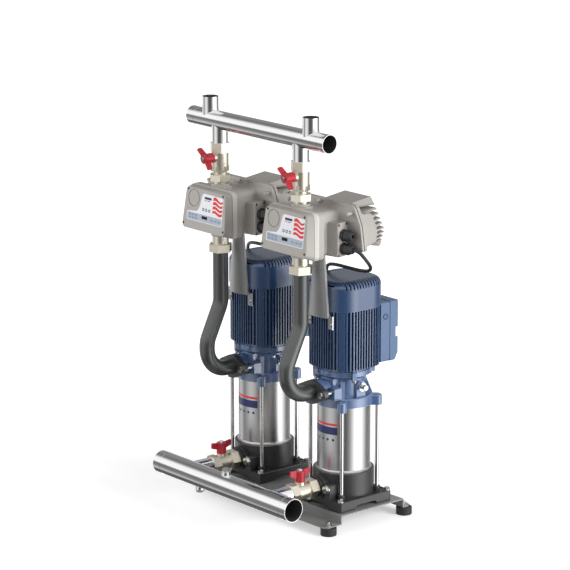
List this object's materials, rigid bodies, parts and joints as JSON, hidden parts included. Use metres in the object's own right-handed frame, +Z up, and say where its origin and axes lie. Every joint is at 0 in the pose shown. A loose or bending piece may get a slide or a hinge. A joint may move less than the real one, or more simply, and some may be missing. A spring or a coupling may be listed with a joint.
{
  "type": "booster pump set",
  "caption": "Booster set of vertical multistage pumps on one frame, with manifolds, ball valves and pipe-mounted speed controllers.",
  "frame": {"origin": "on the floor, at the centre of the four feet", "axes": "+X along the manifolds, +Y towards the motors' terminal boxes, with the suction manifold and control panels at -Y, +Z up"},
  "size_m": [0.6354, 0.4464, 1.078],
  "materials": {
    "frame_paint": "satin dark grey paint",
    "foot_rubber": "matt rubber",
    "zinc_steel": "bright zinc plate",
    "rod_steel": "drawn steel",
    "stainless_tube": "polished stainless tube",
    "sleeve_steel": "fine brushed stainless",
    "stage_steel": "pressed stainless",
    "nickel_plate": "satin nickel plate on brass",
    "handle_red": "red epoxy coat",
    "controller_grey": "warm grey satin paint",
    "heatsink_grey": "grey painted cast aluminium",
    "base_iron": "black electrocoat",
    "head_blue": "navy paint on cast iron",
    "motor_blue": "navy paint on aluminium",
    "box_blue": "light blue-grey paint",
    "riser_black": "black satin powder coat",
    "bracket_grey": "mid grey satin paint",
    "gland_plastic": "charcoal nylon",
    "cable_rubber": "black cable sheath",
    "seal_carbon": "carbon and elastomer",
    "bearing_steel": "ground steel",
    "winding_copper": "varnished laminations and copper",
    "board_green": "lacquered circuit board",
    "fan_plastic": "black moulded plastic",
    "ball_chrome": "polished chrome plate"
  },
  "bodies": {
    "root": {"base_frame": "frame_paint", "rubber_feet": "foot_rubber", "foot_studs": "zinc_steel", "suction_manifold": "stainless_tube", "discharge_manifold": "stainless_tube", "manifold_plugs": "nickel_plate", "anchor_bolts": "zinc_steel", "tie_rods": "rod_steel", "pump_plugs": "nickel_plate", "stage_bowls": "stage_steel", "shaft_seals": "seal_carbon", "shaft_bearings": "bearing_steel", "stators": "winding_copper", "bearing_shields": "motor_blue", "fan_covers": "motor_blue", "terminal_boxes": "box_blue", "terminal_lids": "box_blue", "riser_flanges": "riser_black", "flange_bolts": "zinc_steel", "union_nuts": "nickel_plate", "union_tails": "nickel_plate", "cable_glands": "gland_plastic", "control_boards": "board_green", "wiring_covers": "controller_grey", "bracket_clips": "zinc_steel", "suction_valve_bodies": "nickel_plate", "discharge_valve_bodies": "nickel_plate", "pump_sleeves": "sleeve_steel", "riser_pipes": "riser_black", "motor_brackets": "bracket_grey", "heatsinks": "heatsink_grey", "motor_cables": "cable_rubber", "left_pump_base": "base_iron", "left_pump_head": "head_blue", "left_motor_housing": "motor_blue", "left_controller_cover": "controller_grey", "left_flow_body": "controller_grey", "right_pump_base": "base_iron", "right_pump_head": "head_blue", "right_motor_housing": "motor_blue", "right_controller_cover": "controller_grey", "right_flow_body": "controller_grey"},
    "left_rotor": {"left_pump_shaft": "bearing_steel", "left_impellers": "stage_steel", "left_motor_rotor": "winding_copper", "left_cooling_fan": "fan_plastic"},
    "left_suction_valve": {"left_suction_ball": "ball_chrome", "left_suction_handle": "handle_red"},
    "left_discharge_valve": {"left_discharge_ball": "ball_chrome", "left_discharge_handle": "handle_red"},
    "left_check_valve_body": {"left_check_valve": "fan_plastic"},
    "right_rotor": {"right_pump_shaft": "bearing_steel", "right_impellers": "stage_steel", "right_motor_rotor": "winding_copper", "right_cooling_fan": "fan_plastic"},
    "right_suction_valve": {"right_suction_ball": "ball_chrome", "right_suction_handle": "handle_red"},
    "right_discharge_valve": {"right_discharge_ball": "ball_chrome", "right_discharge_handle": "handle_red"},
    "right_check_valve_body": {"right_check_valve": "fan_plastic"}
  },
  "joints": [
    {"name": "left_rotor_spin", "type": "hinge", "parent": "root", "child": "left_rotor", "pos_m": [-0.16, 0, 0.4], "axis": [0, 0, 1], "continuous": true},
    {"name": "left_suction_valve_turn", "type": "hinge", "parent": "root", "child": "left_suction_valve", "pos_m": [-0.16, -0.149, 0.14], "axis": [0, 0, 1], "range_deg": [0, 90]},
    {"name": "left_discharge_valve_turn", "type": "hinge", "parent": "root", "child": "left_discharge_valve", "pos_m": [-0.16, -0.148, 0.9245], "axis": [0, 1, 0], "range_deg": [-47, 43]},
    {"name": "left_check_valve_lift", "type": "slide", "parent": "root", "child": "left_check_valve_body", "axis": [0, 0, 1], "range_m": [0, 0.008], "stiffness_N_per_m": 250, "springref_m": -0.004},
    {"name": "right_rotor_spin", "type": "hinge", "parent": "root", "child": "right_rotor", "pos_m": [0.16, 0, 0.4], "axis": [0, 0, 1], "continuous": true},
    {"name": "right_suction_valve_turn", "type": "hinge", "parent": "root", "child": "right_suction_valve", "pos_m": [0.16, -0.149, 0.14], "axis": [0, 0, 1], "range_deg": [0, 90]},
    {"name": "right_discharge_valve_turn", "type": "hinge", "parent": "root", "child": "right_discharge_valve", "pos_m": [0.16, -0.148, 0.9245], "axis": [0, 1, 0], "range_deg": [-47, 43]},
    {"name": "right_check_valve_lift", "type": "slide", "parent": "root", "child": "right_check_valve_body", "axis": [0, 0, 1], "range_m": [0, 0.008], "stiffness_N_per_m": 250, "springref_m": -0.004}
  ]
}
